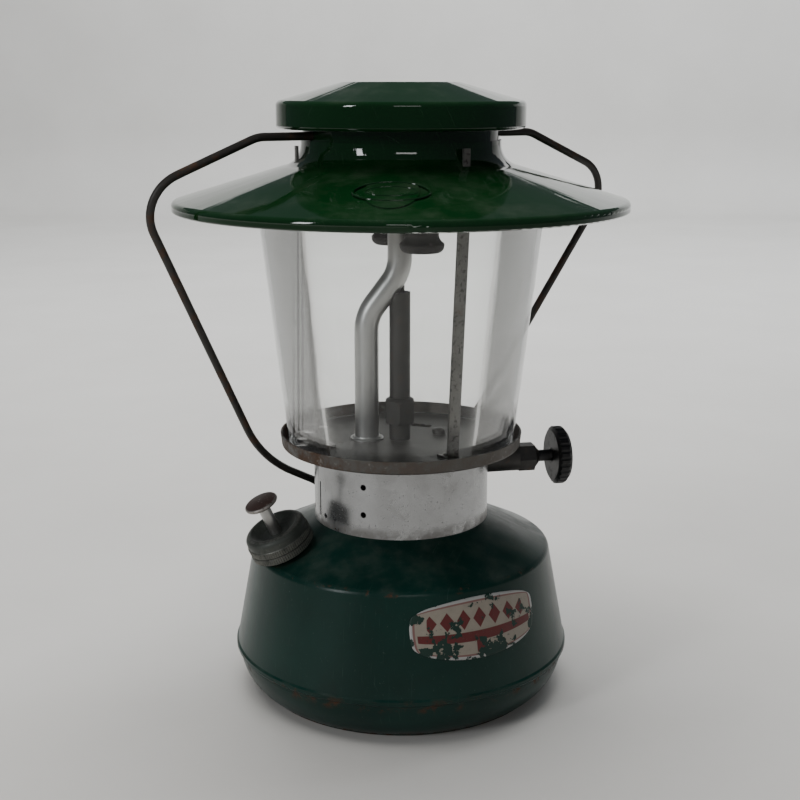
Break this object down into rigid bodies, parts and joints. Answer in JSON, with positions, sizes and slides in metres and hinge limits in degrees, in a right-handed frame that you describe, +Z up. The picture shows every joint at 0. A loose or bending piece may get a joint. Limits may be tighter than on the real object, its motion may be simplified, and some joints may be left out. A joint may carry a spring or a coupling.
{
  "type": "fuel camping lantern",
  "caption": "Pressurised-fuel camping lantern with round tank, pump filler cap, fuel valve, glass globe, vented conical shade and wire bail handle.",
  "frame": {"origin": "centre of the tank's foot on the ground", "axes": "+Z up along the lantern's axis, -Y towards the front with the filler cap at the front left, +X towards the valve knob"},
  "size_m": [0.2263, 0.222, 0.305],
  "materials": {
    "tank_paint": "satin",
    "hood_enamel": "gloss",
    "brass_fittings": "worn satin",
    "dark_rubber": "matte",
    "cap_metal": "satin, worn",
    "bright_steel": "satin",
    "leather_cup": "oiled",
    "knob_plastic": "worn satin",
    "collar_metal": "mottled bright",
    "rusty_steel": "rusty",
    "galvanised": "galvanised",
    "dark_steel": "dull",
    "knob_black": "satin",
    "silver_tube": "satin",
    "cast_burner": "dull",
    "clear_glass": "clear",
    "bail_wire": "dull"
  },
  "bodies": {
    "lantern": {"tank_bottom_pan": "tank_paint", "tank_upper_shell": "tank_paint", "tank_bushing": "brass_fittings", "filler_neck": "brass_fittings", "collar_band": "collar_metal", "burner_plate": "rusty_steel", "frame_base_plate": "rusty_steel", "frame_nut": "brass_fittings", "plate_screws": "galvanised", "strap_left": "galvanised", "strap_right": "galvanised", "strap_rear": "galvanised", "strap_rivets": "galvanised", "valve_body": "dark_steel", "packing_nut": "dark_steel", "stem_packing": "dark_rubber", "fuel_pickup_tube": "brass_fittings", "generator_nut": "dark_steel", "generator_tube": "dark_steel", "generator_jet": "brass_fittings", "generator_sleeve": "dark_steel", "mixing_tube": "silver_tube", "mixing_tube_ring": "silver_tube", "burner_manifold": "cast_burner", "burner_cap_front": "cast_burner", "burner_cap_rear": "cast_burner", "burner_screens": "galvanised"},
    "valve_knob": {"valve_knob": "knob_black", "valve_stem": "bright_steel", "knob_screw": "bright_steel"},
    "cap_seal": {"cap_gasket": "dark_rubber"},
    "filler_cap": {"filler_cap": "cap_metal", "pump_barrel": "brass_fittings", "check_valve": "brass_fittings"},
    "pump_plunger": {"pump_rod": "bright_steel", "pump_knob": "knob_plastic", "pump_cup": "leather_cup"},
    "hood": {"shade": "hood_enamel", "vent_neck": "hood_enamel", "vent_cap": "hood_enamel"},
    "bail": {"bail_handle": "bail_wire"},
    "globe": {"globe": "clear_glass"}
  },
  "joints": [
    {"name": "valve_turn", "type": "hinge", "parent": "lantern", "child": "valve_knob", "pos_m": [0.08254, 0.02167, 0.1135], "axis": [0.9781, 0.2079, 0], "range_deg": [0, 450]},
    {"name": "cap_lift", "type": "slide", "parent": "lantern", "child": "cap_seal", "axis": [-0.3752, -0.1995, 0.9052], "range_m": [0, 0.075]},
    {"name": "cap_turn", "type": "hinge", "parent": "cap_seal", "child": "filler_cap", "pos_m": [-0.05739, -0.03052, 0.07926], "axis": [-0.3752, -0.1995, 0.9052], "range_deg": [0, 720]},
    {"name": "pump_stroke", "type": "slide", "parent": "filler_cap", "child": "pump_plunger", "axis": [-0.3752, -0.1995, 0.9052], "range_m": [-0.01, 0.028]},
    {"name": "hood_lift", "type": "slide", "parent": "lantern", "child": "hood", "axis": [0, 0, 1], "range_m": [0, 0.175]},
    {"name": "globe_lift", "type": "slide", "parent": "lantern", "child": "globe", "axis": [0, 0, 1], "range_m": [0, 0.1575]},
    {"name": "bail_swing", "type": "hinge", "parent": "hood", "child": "bail", "pos_m": [0, 0, 0.2804], "axis": [0.8805, 0.4741, 0], "range_deg": [0, 61.25]}
  ],
  "couplings": [
    {"joint": "globe_lift", "follows": "hood_lift", "ratio": 0.9},
    {"joint": "bail_swing", "follows": "hood_lift", "rad_per_m": 6.1087}
  ]
}
